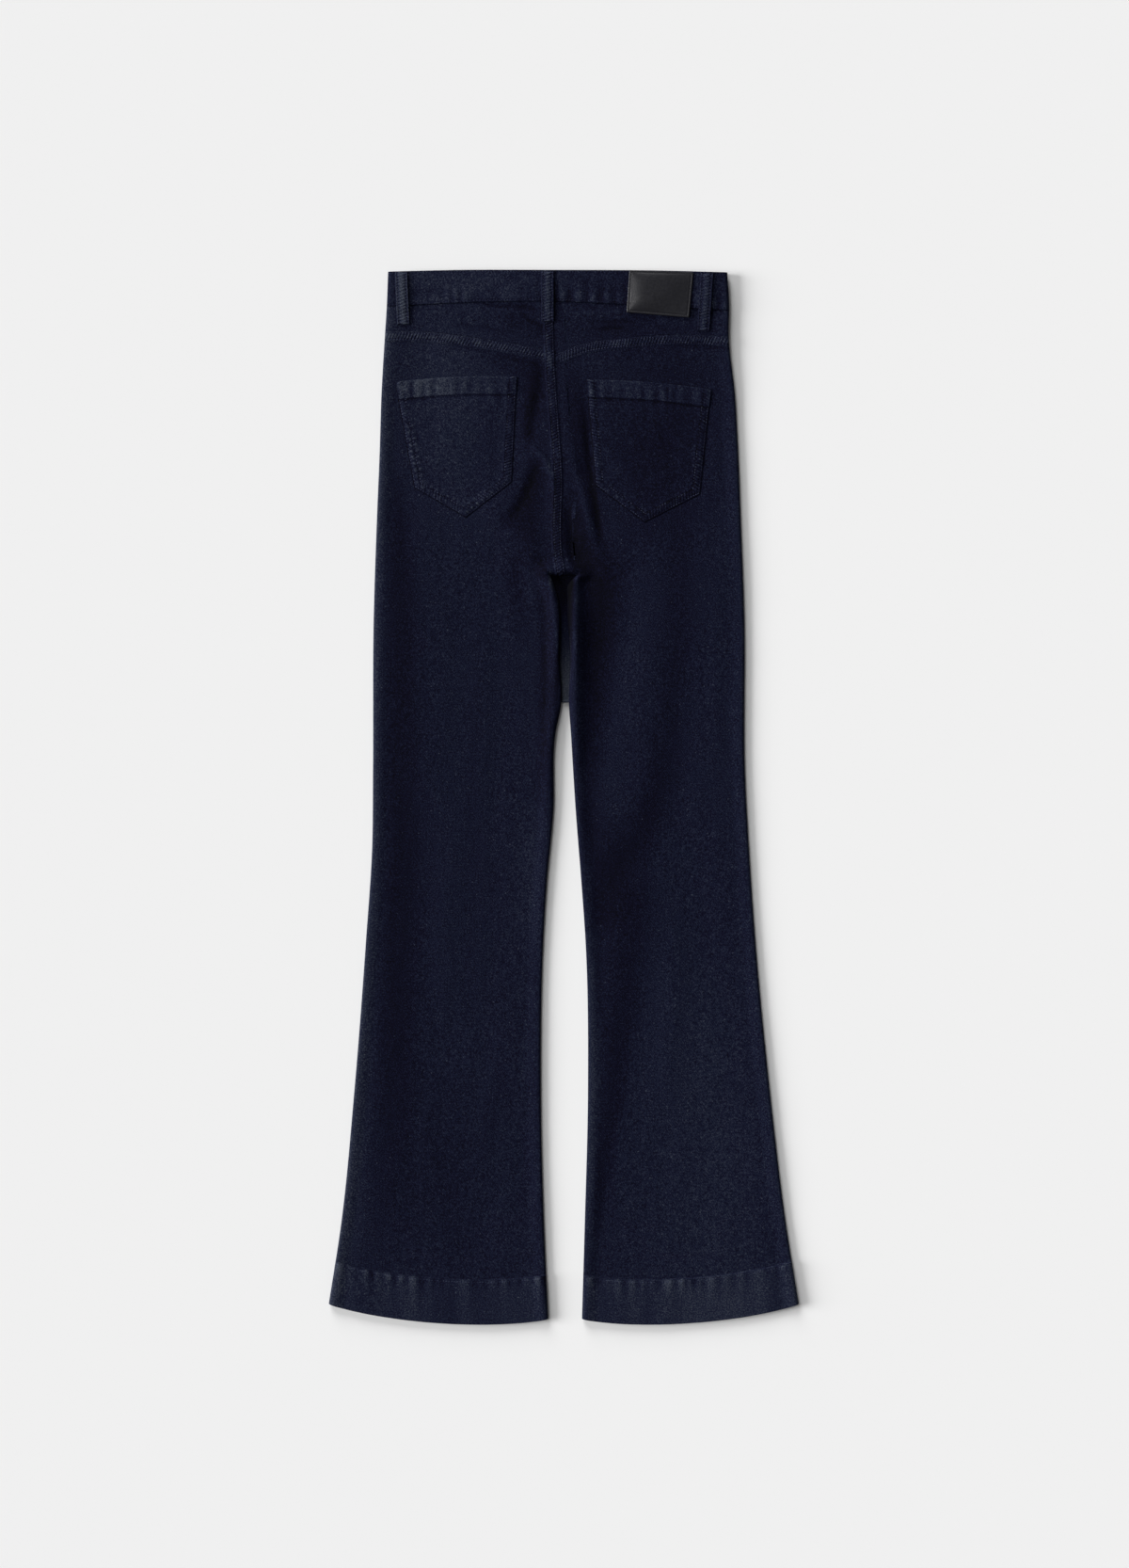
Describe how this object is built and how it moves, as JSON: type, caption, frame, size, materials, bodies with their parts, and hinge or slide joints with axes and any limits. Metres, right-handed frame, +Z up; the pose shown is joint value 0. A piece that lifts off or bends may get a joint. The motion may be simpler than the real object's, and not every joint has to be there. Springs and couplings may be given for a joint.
{
  "type": "bootcut trousers",
  "caption": "Dark navy denim bootcut trousers laid flat with the back side up, with yoke, patch pockets, belt loops and a bare leather patch.",
  "frame": {"origin": "middle of the outline, on the surface that the trousers lie on", "axes": "+Z up out of the back side, +Y from the hems to the waist, +X to the wearer's right"},
  "size_m": [0.4997, 1.1204, 0.0125],
  "materials": {
    "denim": "rinsed navy stretch denim, matt twill",
    "zip_tape": "woven tape with dark metal teeth",
    "button_metal": "pressed cap, aged",
    "black_leather": "smooth black, soft sheen"
  },
  "bodies": {
    "root": {"back_left": "denim", "back_right": "denim", "yoke_left": "denim", "yoke_right": "denim", "front_left": "denim", "front_right": "denim", "fly_flap": "denim", "zip": "zip_tape", "waistband_back": "denim", "waistband_front_left": "denim", "waistband_front_right": "denim", "waist_button": "button_metal", "belt_loop_back_left": "denim", "belt_loop_back_centre": "denim", "belt_loop_back_right": "denim", "belt_loop_front_left": "denim", "belt_loop_front_right": "denim", "back_pocket_left": "denim", "back_pocket_right": "denim", "leather_patch": "black_leather"}
  },
  "joints": []
}
